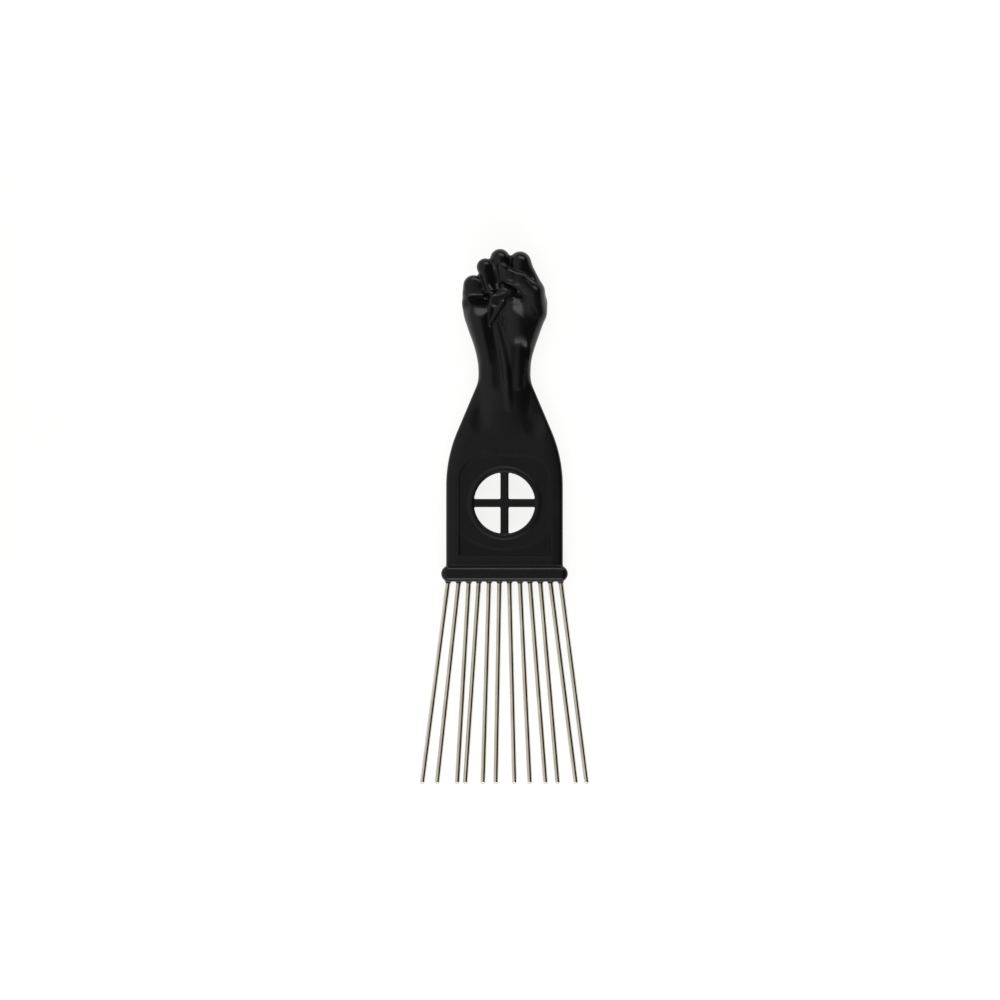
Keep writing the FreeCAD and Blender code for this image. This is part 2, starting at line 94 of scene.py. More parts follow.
def bone(p, start, end, start_radius, end_radius):
    """Round-ended tapered bar between two points."""
    run = [b - a for a, b in zip(start, end)]
    offsets = [value - a for value, a in zip(p, start)]
    t = sum(offset * step for offset, step in zip(offsets, run)) / sum(step * step for step in run)
    t = np.clip(t, 0, 1)
    gap = np.sqrt(sum((offset - t * step) ** 2 for offset, step in zip(offsets, run)))
    return gap - (start_radius + t * (end_radius - start_radius))


def chain(p, points, radius):
    """Round bar of one thickness through a row of points."""
    return np.minimum.reduce([bone(p, start, end, radius, radius) for start, end in zip(points, points[1:])])


def mound(p, centre, halves, lean=0.0):
    """Egg-shaped swelling, turned by a lean about the depth axis."""
    turn = math.radians(lean)
    dx, dy, dz = (value - middle for value, middle in zip(p, centre))
    local = (dx * math.cos(turn) + dy * math.sin(turn), dy * math.cos(turn) - dx * math.sin(turn), dz)
    near = np.sqrt(sum((value / half) ** 2 for value, half in zip(local, halves)))
    steep = np.sqrt(sum((value / half ** 2) ** 2 for value, half in zip(local, halves)))
    return near * (near - 1) / np.maximum(steep, LEAST_STEEP)


def notch(p, start, end, flare, run_out, bottom_round):
    """V-shaped groove between two points of its bottom line, which runs out towards the front at both ends."""
    run_x, run_y = end[0] - start[0], end[1] - start[1]
    length = math.hypot(run_x, run_y)
    dx, dy = p[0] - start[0], p[1] - start[1]
    along = (dx * run_x + dy * run_y) / length
    aside = np.sqrt(((dx * run_y - dy * run_x) / length) ** 2 + bottom_round ** 2) - bottom_round
    ends = np.maximum(0, np.maximum(run_out - along, along - length + run_out)) / run_out
    bottom = start[2] + np.clip(along / length, 0, 1) * (end[2] - start[2]) + run_out * ends ** 2
    return (aside - (p[2] - bottom) * flare) / math.hypot(1.0, flare)


def above_slope(p, height, fall, distance):
    """Space in front of a plane that falls away by a share of a distance across the hand."""
    return height - fall * distance - p[2]


# Tooth bar: a bead with round ends, whose long edges are rounded in front and behind
BAR_Y = -19.2
BAR_HALF_LENGTH, BAR_HALF_HEIGHT, BAR_HALF_DEPTH, BAR_ROUND = 21.3, 2.7, 3.795, 1.8
BAR_FOOT_Y = BAR_Y - BAR_HALF_HEIGHT
# Collars that run down the teeth
COLLAR_ROOT_RADIUS, COLLAR_END_RADIUS, COLLAR_RISE, COLLAR_DROP, COLLAR_SOFT = 1.65, 1.0, 0.9, 1.0, 0.5
# Slices of a wire whose middles give its root and its tip
ROOT_SLICE, TIP_SLICE = 0.3, 0.05


def leg_ends(name):
    """Middle of a wire's root and of its tip, in millimetres, read from the frame."""
    points = np.array([v.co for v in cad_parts[name].data.vertices]) / MM
    root = points[points[:, 1] > points[:, 1].max() - ROOT_SLICE].mean(0)
    tip = points[points[:, 1] < points[:, 1].min() + TIP_SLICE].mean(0)
    return root, tip


LEGS = [name for name in sorted(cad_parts) if name.endswith("_leg")]
LEG_ENDS = {name: leg_ends(name) for name in LEGS}


def tooth_bar(p):
    """Tooth bar with the collars that run down the teeth."""
    x, y, z = p
    past_end = np.maximum(np.abs(x) - (BAR_HALF_LENGTH - BAR_HALF_HEIGHT), 0)
    outside = np.sqrt(past_end ** 2 + (y - BAR_Y) ** 2) - BAR_HALF_HEIGHT
    bar = rounded_slab(outside, np.abs(z) - BAR_HALF_DEPTH, BAR_ROUND)
    start_y, end_y = BAR_FOOT_Y + COLLAR_RISE, BAR_FOOT_Y - COLLAR_DROP + COLLAR_END_RADIUS
    for root, tip in LEG_ENDS.values():
        slope = (tip[0] - root[0]) / (tip[1] - root[1])
        start = (root[0] + slope * (start_y - root[1]), start_y, 0.0)
        end = (root[0] + slope * (end_y - root[1]), end_y, 0.0)
        bar = melt(bar, bone(p, start, end, COLLAR_ROOT_RADIUS, COLLAR_END_RADIUS), COLLAR_SOFT)
    return bar


# Panel: straight sides, then shoulders that draw in along an arc and a slope to the throat
PANEL_HALF_WIDTH, PANEL_HALF_DEPTH = 19.65, 2.2
PANEL_EDGE_ROUND, PANEL_CROWN, CROWN_WIDTH = 1.2, 0.35, 4.4
SIDE_TOP_Y = 10.3
SHOULDER_RADIUS, SHOULDER_SLOPE = 47.0, math.radians(23)
PANEL_TOP_Y = 52.0
# Shallow dishes on both sides of the cuff, where the panel runs into the forearm: centre, halves and lean
CUFF_DISHES = (((-7.8, 33.0, 4.4), (5.0, 6.5, 2.6), -10), ((10.2, 30.6, 4.4), (5.0, 5.5, 2.6), 20))
DISH_SOFT = 0.8
# Recess with an arched top, and the raised field whose lower edge is one wide arc
RECESS_HALF_WIDTH, RECESS_FOOT_Y, RECESS_TOP_Y, RECESS_ARCH, RECESS_DEPTH = 15.2, -12.95, 20.65, 8.5, 0.7
FIELD_RADIUS, FIELD_Y, FIELD_HEIGHT = 23.5, 12.35, 0.35
STEP_EASE = 0.6
# Window with its lip and its cross of two bars, which lie lower than the lip
WINDOW_Y, WINDOW_RADIUS, WINDOW_BAR_HALF = 4.55, 10.3, 1.4
LIP_RADIUS, LIP_HEIGHT, LIP_EASE = 12.1, 0.3, 1.1
CROSS_SINK, CROSS_REACH, CROSS_EASE = 0.35, 0.3, 0.5
PANE_CORNER, PANE_SOFT = 0.5, 0.45


def panel_outline(x, y):
    """Distance outside the panel's outline in front view."""
    side = np.abs(x) - PANEL_HALF_WIDTH
    from_x, from_y = side + SHOULDER_RADIUS, y - SIDE_TOP_Y
    arc = np.sqrt(from_x ** 2 + from_y ** 2) - SHOULDER_RADIUS
    slope = from_x * math.cos(SHOULDER_SLOPE) + from_y * math.sin(SHOULDER_SLOPE) - SHOULDER_RADIUS
    past_arc = from_y > from_x * math.tan(SHOULDER_SLOPE)
    shoulder = np.where(past_arc, slope, arc)
    return np.where(y < SIDE_TOP_Y, side, shoulder)


def recess_outline(x, y):
    """Distance outside the recess: square lower corners and arched upper ones."""
    up = np.maximum(y - RECESS_TOP_Y, RECESS_FOOT_Y - y)
    across = np.abs(x) - RECESS_HALF_WIDTH
    corner_x, corner_y = across + RECESS_ARCH, y - RECESS_TOP_Y + RECESS_ARCH
    arch = np.sqrt(corner_x ** 2 + corner_y ** 2) - RECESS_ARCH
    square = np.maximum(across, up)
    return np.where((corner_x > 0) & (corner_y > 0), arch, square)


def panel(p):
    """Panel with its recess, raised field, lip and window, the same on both faces, and the dishes in front."""
    x, y, z = p
    from_window = np.sqrt(x ** 2 + (y - WINDOW_Y) ** 2)
    sunk = ease(recess_outline(x, y), STEP_EASE)
    field = ease(np.sqrt(x ** 2 + (y - FIELD_Y) ** 2) - FIELD_RADIUS, STEP_EASE)
    lip = ease(from_window - LIP_RADIUS, LIP_EASE)
    crossbars = ease(from_window - WINDOW_RADIUS - CROSS_REACH, CROSS_EASE)
    depth = RECESS_DEPTH - FIELD_HEIGHT * field - LIP_HEIGHT * lip + CROSS_SINK * crossbars
    face = PANEL_HALF_DEPTH - sunk * depth
    outside = panel_outline(x, y)
    face -= PANEL_CROWN * np.clip(1 + outside / CROWN_WIDTH, 0, 1) ** 2
    slab = rounded_slab(outside, np.abs(z) - face, PANEL_EDGE_ROUND)
    slab = np.maximum(slab, np.maximum(y - PANEL_TOP_Y, BAR_Y - y))
    for centre, halves, lean in CUFF_DISHES:
        slab = carve(slab, mound(p, centre, halves, lean), DISH_SOFT)
    cross = melt(np.abs(x), np.abs(y - WINDOW_Y), PANE_CORNER) - WINDOW_BAR_HALF
    pane = carve(from_window - WINDOW_RADIUS, cross, PANE_CORNER)
    return carve(slab, pane, PANE_SOFT)


# Forearm and palm: slightly squared ovals drawn one above another, deeper in front than behind
SQUARENESS = 2.4
SECTION_Y = (27.0, 31.5, 35.6, 42.0, 46.7, 51.0, 56.8, 62.8, 68.9, 72.6, 75.4, 77.7, 86.3)
SECTION_HALF_WIDTH = (6.4, 7.3, 8.0, 8.5, 8.75, 8.9, 9.9, 12.0, 13.9, 14.3, 13.4, 12.0, 5.6)
SECTION_FRONT = (1.6, 2.3, 3.4, 4.3, 4.6, 4.75, 4.95, 5.1, 4.9, 4.7, 4.6, 4.5, 3.6)
SECTION_BACK = (1.6, 2.2, 2.9, 3.3, 3.45, 3.5, 3.65, 3.7, 3.7, 3.7, 3.7, 3.7, 2.6)
# Back of the hand: four base knuckles, across and up, whose bones fan out from the wrist
KNUCKLE_Z = -0.85
BASE_KNUCKLES = ((-9.6, 75.2), (-5.6, 80.6), (-0.9, 83.8), (4.8, 82.6))
WRIST_Y, WRIST_Z, WRIST_SHARE = 58.0, -1.9, 0.35
# Tendon that stands up along the forearm
TENDON = ((-2.9, 65.0, 3.1), (-0.6, 56.0, 3.9), (0.5, 50.0, 4.1), (1.1, 44.0, 3.8), (1.3, 36.2, 2.8))
TENDON_RADIUS = 1.2
# Narrow folds of the palm: start, end and the radius at both
PALM_FOLDS = (
    ((-4.7, 70.9, 4.3), (-5.0, 64.4, 4.35), 0.9, 0.45),
    ((-0.6, 71.7, 4.55), (-4.8, 64.4, 4.4), 1.05, 0.5),
    ((-1.3, 66.8, 4.8), (1.9, 60.3, 5.0), 0.5, 0.3),
)
# Thumb: its joints from root to tip, the flat of its back, and the soft ridge of its lower edge
THUMB_ROOT, THUMB_KNUCKLE, THUMB_MIDDLE, THUMB_TIP = (
    (9.5, 75.3, 4.2), (5.0, 79.7, 5.6), (1.8, 80.9, 5.8), (-0.8, 83.4, 5.7))
THUMB_BACK_Z = 7.75
THUMB_EDGE = (
    (-0.9, 79.5, 6.1), (1.1, 78.3, 6.3), (3.7, 77.6, 6.2), (5.6, 76.0, 5.9), (6.5, 74.0, 5.5), (7.2, 71.6, 5.1))
THUMB_EDGE_RADIUS = 0.55
# Flat that the hand rests on, and the round scoop by which the cuff drops to the panel
REST_Z = -3.78
SCOOP_Y, SCOOP_Z, SCOOP_RADIUS, SCOOP_HALF_LENGTH = 29.5, 22.2, 20.0, 10.0


def forearm(p):
    """Forearm and palm without their relief."""
    x, y, z = p
    half = smooth_line(y, SECTION_Y, SECTION_HALF_WIDTH)
    front = smooth_line(y, SECTION_Y, SECTION_FRONT)
    back = smooth_line(y, SECTION_Y, SECTION_BACK)
    depth = np.where(z > 0, front, back)
    u, w = np.abs(x) / half, np.abs(z) / depth
    near = (u ** SQUARENESS + w ** SQUARENESS) ** (1 / SQUARENESS)
    steep = np.sqrt((u ** (SQUARENESS - 1) / half) ** 2 + (w ** (SQUARENESS - 1) / depth) ** 2)
    oval = near ** (SQUARENESS - 1) * (near - 1) / np.maximum(steep, LEAST_STEEP)
    return np.maximum(oval, np.maximum(y - SECTION_Y[-1], SECTION_Y[0] - y))


def ball_of_thumb(p):
    """Ball of the thumb and the side of the hand that it runs into, cut back at its upper and lower end."""
    x, y, z = p
    side = bone(p, (9.6, 67.8, 0.9), (6.2, 54.0, 0.6), 4.2, 2.8)
    ball = melt(side, mound(p, (4.6, 64.6, 2.9), (5.4, 8.4, 4.1), 8), 2.4)
    ball = carve(ball, above_slope(p, 5.75, 0.49, 0.4 * (x - 5.5) + 0.92 * (y - 70.0)), 0.7)
    return carve(ball, above_slope(p, 5.65, -0.53, y - 58.8), 0.5)


def fingers(p):
    """Little, ring, middle and index finger, each with the width over which it melts into the hand."""
    little = melt(bone(p, (-10.4, 77.7, 2.4), (-11.1, 75.4, 1.9), 3.3, 3.0),
                  bone(p, (-10.2, 77.4, 2.4), (-8.2, 75.4, 3.0), 3.0, 2.2), 1.2)
    little = melt(little, bone(p, (-10.4, 77.6, 2.2), (-9.9, 76.4, KNUCKLE_Z), 3.1, 2.7), 0.8)
    little = carve(little, 5.15 - p[2], 0.9)
    ring = melt(bone(p, (-6.5, 83.8, 3.7), (-4.5, 75.9, 4.5), 2.7, 1.75),
                bone(p, (-6.4, 83.7, 3.4), (-5.9, 81.4, KNUCKLE_Z), 2.7, 2.7), 0.8)
    middle = melt(bone(p, (-1.5, 86.5, 3.7), (-1.2, 77.2, 2.6), 3.1, 2.4),
                  bone(p, (-1.5, 86.5, 3.6), (-1.2, 84.4, KNUCKLE_Z), 3.1, 2.7), 0.8)
    index = melt(bone(p, (5.2, 85.4, 3.3), (4.0, 80.0, 4.0), 3.15, 2.6),
                 bone(p, (5.3, 85.3, 2.6), (10.0, 76.2, 2.0), 3.15, 3.2), 2.0)
    index = melt(index, bone(p, (5.2, 85.4, 3.1), (5.0, 83.2, KNUCKLE_Z), 3.15, 2.7), 0.8)
    return (little, 1.5), (ring, 0.9), (middle, 1.0), (index, 1.5)


def thumb(p):
    """Thumb across the fingers, with its flattened back, its pad, its lower edge and its nail."""
    form = melt(bone(p, THUMB_ROOT, THUMB_KNUCKLE, 2.9, 2.3), bone(p, THUMB_KNUCKLE, THUMB_MIDDLE, 2.3, 2.15), 0.8)
    form = melt(form, bone(p, THUMB_MIDDLE, THUMB_TIP, 2.15, 1.75), 0.6)
    form = carve(form, THUMB_BACK_Z - p[2], 0.6)
    form = melt(form, bone(p, (-0.5, 80.9, 5.5), (3.6, 79.2, 5.5), 1.6, 1.6), 0.8)
    form = melt(form, chain(p, THUMB_EDGE, THUMB_EDGE_RADIUS), 1.1)
    return melt(form, mound(p, (-0.3, 83.4, 7.05), (1.9, 1.2, 0.85), -44), 0.15)


def fist(p):
    """Forearm and clenched hand, built up from the wrist to the thumb."""
    x, y, z = p
    hand = forearm(p)
    for across, up in BASE_KNUCKLES:
        wrist = (WRIST_SHARE * across, WRIST_Y, WRIST_Z)
        hand = melt(hand, bone(p, wrist, (across, up, KNUCKLE_Z), 1.2, 2.45), 2.0)
    # Heel of the hand: the long muscle on the outer side, cut back at its top, and the ball of the thumb
    hand = melt(hand, bone(p, (-8.4, 67.3, 2.0), (-5.2, 54.0, 1.4), 4.2, 2.8), 2.2)
    hand = carve(hand, np.maximum(above_slope(p, 6.1, 0.47, y - 66.9), x + 4.4), 0.9)
    hand = melt(hand, ball_of_thumb(p), 0.6)
    # Soft hollow along the forearm, the tendon on its right, and a fainter tendon further right
    hand = carve(hand, bone(p, (-2.9, 66.0, 9.0), (-1.4, 45.0, 8.9), 4.7, 4.95), 1.2)
    hand = melt(hand, chain(p, TENDON, TENDON_RADIUS), 0.8)
    hand = melt(hand, bone(p, (5.2, 58.0, 2.6), (4.7, 44.0, 3.0), 1.5, 1.2), 1.5)
    # Curled fingers, and the valley between the ring finger and the thumb's tip
    for finger, soft in fingers(p):
        hand = melt(hand, finger, soft)
    hand = carve(hand, notch(p, (-3.7, 85.6, 4.3), (-1.7, 75.6, 3.6), 1.0, 3.5, 1.1), 1.2)
    # Root of the thumb, which runs smoothly into the side of the hand
    hand = melt(hand, bone(p, (9.9, 69.4, 2.2), (9.7, 75.0, 3.7), 3.9, 3.3), 2.4)
    # Hollows under the little finger and under the thumb
    hand = carve(hand, notch(p, (-14.6, 72.8, 2.4), (-2.6, 71.8, 1.9), 0.5, 4.0, 0.4), 0.9)
    hand = carve(hand, mound(p, (4.8, 74.6, 8.0), (3.0, 2.2, 4.4), 25), 1.0)
    # Fingertips, the wide flat fold under them, and the narrow folds of the palm
    hand = melt(hand, bone(p, (-0.2, 77.2, 4.2), (2.0, 76.1, 4.0), 1.5, 1.2), 0.5)
    wide_fold = bone(p, (3.1, 75.5, 4.4), (-3.2, 72.4, 4.0), 0.6, 2.2)
    hand = melt(hand, carve(wide_fold, above_slope(p, 5.5, 0.1, x + 3), 0.4), 0.8)
    for start, end, start_radius, end_radius in PALM_FOLDS:
        hand = melt(hand, bone(p, start, end, start_radius, end_radius), 0.55)
    # Thumb, and the crease between it and its ball
    hand = melt(hand, thumb(p), 0.45)
    hand = carve(hand, bone(p, (7.0, 73.0, 7.7), (11.0, 68.0, 6.6), 0.8, 0.6), 0.6)
    # Flat at the back, and the scoop at the cuff
    hand = carve(hand, z - REST_Z, 0.3)
    scoop = bone(p, (-SCOOP_HALF_LENGTH, SCOOP_Y, SCOOP_Z), (SCOOP_HALF_LENGTH, SCOOP_Y, SCOOP_Z),
                 SCOOP_RADIUS, SCOOP_RADIUS)
    return carve(hand, scoop, 0.8)


# How far the panel, the bar and the hand are worked out, and the widths over which they join
PANEL_REACH_Y, BAR_REACH_Y, HAND_FOOT_Y = PANEL_TOP_Y + 4, BAR_Y + 6, 26.0
BAR_SOFT, HAND_SOFT = 0.5, 1.0
FAR_OUTSIDE = 50.0
CHUNK = 60000


def handle_form(points):
    """Distance outside the handle at points that are sorted by Y."""
    parts = []
    for chunk in np.array_split(points, max(1, len(points) // CHUNK)):
        p = tuple(chunk.T.astype(np.float32))
        lowest, highest = p[1].min(), p[1].max()
        form = np.full(len(chunk), FAR_OUTSIDE, np.float32)
        if lowest < PANEL_REACH_Y:
            form = panel(p)
        if lowest < BAR_REACH_Y:
            form = melt(form, tooth_bar(p), BAR_SOFT)
        if highest > HAND_FOOT_Y:
            form = melt(form, fist(p), HAND_SOFT)
        parts.append(form)
    return np.concatenate(parts)


# The form is sampled on a fine grid and meshed, and each vertex is then drawn on to the true surface
STEP = 0.24
GRID_LOW, GRID_HIGH = np.array([-21.8, -23.4, -4.3]), np.array([21.8, 90.6, 9.6])
BAND = 3 * STEP
counts = np.ceil((GRID_HIGH - GRID_LOW) / STEP).astype(int) + 1
axes = [GRID_LOW[axis] + STEP * np.arange(counts[axis]) for axis in range(3)]
grid_y, grid_x, grid_z = np.meshgrid(axes[1], axes[0], axes[2], indexing="ij")
samples = handle_form(np.stack([grid_x.ravel(), grid_y.ravel(), grid_z.ravel()], 1))
samples = samples.reshape(grid_y.shape).transpose(1, 0, 2)
volume = openvdb.FloatGrid(background=10.0)
volume.copyFromArray(np.ascontiguousarray(np.clip(samples, -BAND, BAND)))
vertices, triangles, quads = volume.convertToPolygons(isovalue=0.0, adaptivity=0.0)
vertices = vertices * STEP + GRID_LOW

# Slopes are read at the four corners of a small tetrahedron
TETRAHEDRON = np.array([(1, 1, 1), (1, -1, -1), (-1, 1, -1), (-1, -1, 1)]) / math.sqrt(3)
SURFACE_REACH, LEAST_SLOPE = 0.05, 0.05


def slope_of(points, reach):
    """Value, slope and bend of the handle's form at points in any order."""
    order = np.argsort(points[:, 1])
    sorted_points = points[order]
    around = [handle_form(sorted_points + reach * corner) for corner in TETRAHEDRON]
    value = handle_form(sorted_points)
    slope = sum(a[:, None] * corner for a, corner in zip(around, TETRAHEDRON)) * 0.75 / reach
    bend = (sum(around) - 4 * value) * 1.5 / reach ** 2
    back = np.argsort(order)
    return value[back], slope[back], bend[back]


def draw_on(points, steps):
    """Points moved on to the handle's surface, and its outward direction there."""
    for _ in range(steps):
        value, slope = slope_of(points, SURFACE_REACH)[:2]
        points = points - slope * (value / np.maximum((slope ** 2).sum(1), LEAST_SLOPE))[:, None]
    return points, slope / np.linalg.norm(slope, axis=1, keepdims=True)


TRIANGLES = 185000
mesh = bpy.data.meshes.new("handle_raw")
faces = quads.tolist() + triangles.tolist()
mesh.from_pydata(draw_on(vertices, 1)[0] * MM + np.array([0, 0, MIDDLE_Z * MM]), [], faces)
raw = bpy.data.objects.new("handle_raw", mesh)
bpy.context.scene.collection.objects.link(raw)
mesh.calc_loop_triangles()
thin = raw.modifiers.new("thin", "DECIMATE")
thin.ratio = min(1.0, TRIANGLES / len(mesh.loop_triangles))
thin.use_collapse_triangulate = True
depsgraph = bpy.context.evaluated_depsgraph_get()
handle_mesh = bpy.data.meshes.new_from_object(raw.evaluated_get(depsgraph))
bpy.data.objects.remove(raw)
handle_mesh.name = "moulded_handle"
coordinates = np.zeros(len(handle_mesh.vertices) * 3)
handle_mesh.vertices.foreach_get("co", coordinates)
points = coordinates.reshape(-1, 3) / MM - np.array([0, 0, MIDDLE_Z])
points, outward = draw_on(points, 2)
handle_mesh.vertices.foreach_set("co", ((points + np.array([0, 0, MIDDLE_Z])) * MM).ravel())
handle_mesh.polygons.foreach_set("use_smooth", np.ones(len(handle_mesh.polygons), bool))
handle_mesh.normals_split_custom_set_from_vertices(outward)
handle = bpy.data.objects.new("moulded_handle", handle_mesh)
bpy.context.scene.collection.objects.link(handle)

# Marks that the plastic reads: rounded edges that rub bright, and hollows of the hand and the bar that hold dust
BEND_REACH = 0.25
RUB_FROM, RUB_SPAN = 0.7, 2.2
DUST_FROM, DUST_SPAN = 0.3, 1.4
BAR_DUST_TOP_Y = BAR_Y + BAR_HALF_HEIGHT + 0.2
bend = slope_of(points, BEND_REACH)[2]
off_panel = (points[:, 1] > HAND_FOOT_Y) | (points[:, 1] < BAR_DUST_TOP_Y)
for name, values in (
    ("rubbed_edge", np.clip((bend - RUB_FROM) / RUB_SPAN, 0, 1)),
    ("dusty_hollow", np.clip((-bend - DUST_FROM) / DUST_SPAN, 0, 1) * off_panel),
):
    handle_mesh.attributes.new(name, "FLOAT", "POINT").data.foreach_set("value", values.astype(np.float32))


def shader_of(name):
    """New node material with its tree and its shader."""
    material = bpy.data.materials.new(name)
    material.use_nodes = True
    return material, material.node_tree, material.node_tree.nodes["Principled BSDF"]


def add_node(tree, kind, inputs=None, **settings):
    """New node in a tree, with its settings and with inputs given as sockets or as plain values."""
    made = tree.nodes.new(kind)
    for name, value in settings.items():
        setattr(made, name, value)
    for socket, value in (inputs or {}).items():
        if hasattr(value, "links"):
            tree.links.new(value, made.inputs[socket])
        else:
            made.inputs[socket].default_value = value
    return made


def maths(tree, operation, *values):
    """Result of a maths node fed by sockets and numbers."""
    return add_node(tree, "ShaderNodeMath", dict(enumerate(values)), operation=operation).outputs[0]


def spread(tree, value, low, high, new_low=0.0, new_high=1.0):
    """Value moved from one range to another."""
    return add_node(tree, "ShaderNodeMapRange", {
        "Value": value, "From Min": low, "From Max": high, "To Min": new_low, "To Max": new_high}).outputs["Result"]


def ramp(tree, value, *stops):
    """Colour by a value, through stops given as positions and colours."""
    made = add_node(tree, "ShaderNodeValToRGB", {"Fac": value})
    elements = made.color_ramp.elements
    while len(elements) < len(stops):
        elements.new(0.5)
    for element, (position, colour) in zip(elements, stops):
        element.position = position
        element.color = (*colour, 1)
    return made.outputs["Color"]


def blend(tree, share, first, second):
    """Two colours mixed by a share."""
    return add_node(tree, "ShaderNodeMix", {0: share, 6: first, 7: second}, data_type="RGBA").outputs[2]


def noise(tree, vector, scale, detail=2.0):
    """Cloudy value at a place."""
    return add_node(tree, "ShaderNodeTexNoise", {"Vector": vector, "Scale": scale, "Detail": detail}).outputs["Fac"]


# Hairline marks: thin broken lines that lie along one direction, shared by the plastic and the wire
hairlines = bpy.data.node_groups.new("hairline_marks", "ShaderNodeTree")
hairlines.interface.new_socket("Place", in_out="INPUT", socket_type="NodeSocketVector")
hairlines.interface.new_socket("Stretch", in_out="INPUT", socket_type="NodeSocketVector")
hairlines.interface.new_socket("Mark", in_out="OUTPUT", socket_type="NodeSocketFloat")
given = hairlines.nodes.new("NodeGroupInput")
stretched = add_node(hairlines, "ShaderNodeVectorMath", {0: given.outputs["Place"], 1: given.outputs["Stretch"]},
                     operation="MULTIPLY").outputs[0]
line = spread(hairlines, noise(hairlines, stretched, 1.0, 3.0), 0.62, 0.72)
patch = spread(hairlines, noise(hairlines, given.outputs["Place"], 140.0), 0.45, 0.65)
add_node(hairlines, "NodeGroupOutput", {"Mark": maths(hairlines, "MULTIPLY", line, patch)})

BLACK_DEEP, BLACK_PALE = (0.0046, 0.0051, 0.0048), (0.0074, 0.0080, 0.0076)
SCUFF_TONE, DUST_TONE = (0.0105, 0.0112, 0.0106, 1), (0.012, 0.0125, 0.0115, 1)
# Colour of the painted shade along the dull lines and in the recess, and how much of it the recess floor takes
PAINTED_SHADE_TONE, FLOOR_SHADE_SHARE = (0.0012, 0.0013, 0.0012, 1), 0.8
GLOSS_ROUGHNESS = (0.23, 0.30)
PLASTIC_HAIRLINES = (5200.0, 420.0, 5200.0)
# Dull lines along an edge, painted dark as shade: where they start to fade and where they end, and how strong each
# one is
LINE_FADE, LINE_END = 0.2 * MM, 0.6 * MM
RECESS_LINE, FIELD_LINE, LIP_LINE = 0.9, 0.75, 0.35
# Ridge where the halves of the mould met: its flat top and its foot, from the middle plane
SEAM_TOP, SEAM_FOOT = 0.05 * MM, 0.14 * MM

plastic, tree, shader = shader_of("black_plastic")
shader.inputs["IOR"].default_value = 1.5
shader.inputs["Specular IOR Level"].default_value = 0.31
place = add_node(tree, "ShaderNodeTexCoord").outputs["Object"]
rubbed, dusty = (add_node(tree, "ShaderNodeAttribute", attribute_name=name).outputs["Fac"]
                 for name in ("rubbed_edge", "dusty_hollow"))
# Gaps to the edges of the recess, of the raised field and of the lip, and the recess's floor, which is matt and
# painted darker as shade
across, upward, height = add_node(tree, "ShaderNodeSeparateXYZ", {0: place}).outputs
corner_x = maths(tree, "ADD", maths(tree, "ABSOLUTE", across), (RECESS_ARCH - RECESS_HALF_WIDTH) * MM)
corner_y = maths(tree, "ADD", upward, (RECESS_ARCH - RECESS_TOP_Y) * MM)
past_corner = add_node(tree, "ShaderNodeCombineXYZ", {
    "X": maths(tree, "MAXIMUM", corner_x, 0.0), "Y": maths(tree, "MAXIMUM", corner_y, 0.0)}).outputs["Vector"]
arch = add_node(tree, "ShaderNodeVectorMath", {0: past_corner}, operation="LENGTH").outputs["Value"]
arch = maths(tree, "ADD", arch, maths(tree, "MINIMUM", maths(tree, "MAXIMUM", corner_x, corner_y), 0.0))
recess = maths(tree, "MAXIMUM", maths(tree, "SUBTRACT", arch, RECESS_ARCH * MM),
               maths(tree, "SUBTRACT", RECESS_FOOT_Y * MM, upward))
flat_place = add_node(tree, "ShaderNodeCombineXYZ", {"X": across, "Y": upward}).outputs["Vector"]
field, lip = (
    maths(tree, "SUBTRACT", add_node(tree, "ShaderNodeVectorMath", {0: flat_place, 1: (0.0, middle * MM, 0.0)},
                                     operation="DISTANCE").outputs["Value"], radius * MM)
    for middle, radius in ((FIELD_Y, FIELD_RADIUS), (WINDOW_Y, LIP_RADIUS)))
matt_and_shaded_floor = maths(tree, "MULTIPLY", spread(tree, recess, -0.7 * MM, -0.1 * MM, 1.0, 0.0),
             spread(tree, field, -0.3 * MM, 0.3 * MM, 0.4, 1.0))
# Corners along those edges, left dull and painted dark as shade
recess_line, field_line, lip_line = (
    spread(tree, maths(tree, "ABSOLUTE", gap), LINE_FADE, LINE_END, share, 0.0)
    for gap, share in ((recess, RECESS_LINE), (field, FIELD_LINE), (lip, LIP_LINE)))
field_line = maths(tree, "MULTIPLY", field_line, spread(tree, recess, -0.3 * MM, 0.1 * MM, 1.0, 0.0))
dull_and_shade = maths(tree, "MAXIMUM", recess_line, maths(tree, "MAXIMUM", field_line, lip_line))
# Tone: a cloudy black, paler where it is scuffed or dusty, and painted darker as shade along the dull lines and in
# the recess
cloud = noise(tree, place, 120.0, 4.0)
scuff = maths(tree, "MULTIPLY", rubbed, spread(tree, noise(tree, place, 600.0, 4.0), 0.4, 0.65))
dust = maths(tree, "MULTIPLY", dusty, spread(tree, noise(tree, place, 900.0, 3.0), 0.35, 0.8, 0.0, 0.3))
tone = ramp(tree, cloud, (0.3, BLACK_DEEP), (0.75, BLACK_PALE))
tone = blend(tree, scuff, tone, SCUFF_TONE)
tone = blend(tree, dust, tone, DUST_TONE)
# Painted shade: the colour goes darker along the dull lines and on the recess floor
painted_shade = maths(tree, "MAXIMUM", dull_and_shade, maths(tree, "MULTIPLY", matt_and_shaded_floor, FLOOR_SHADE_SHARE))
tone = blend(tree, painted_shade, tone, PAINTED_SHADE_TONE)
tree.links.new(tone, shader.inputs["Base Color"])
marks = add_node(tree, "ShaderNodeGroup", node_tree=hairlines)
marks.inputs["Stretch"].default_value = PLASTIC_HAIRLINES
tree.links.new(place, marks.inputs["Place"])
rough = spread(tree, cloud, 0.3, 0.7, *GLOSS_ROUGHNESS)
for mark, change in ((matt_and_shaded_floor, 0.1), (dusty, 0.4), (dull_and_shade, 0.5), (scuff, -0.05), (marks.outputs["Mark"], 0.1)):
    rough = maths(tree, "MULTIPLY_ADD", mark, change, rough)
tree.links.new(rough, shader.inputs["Roughness"])
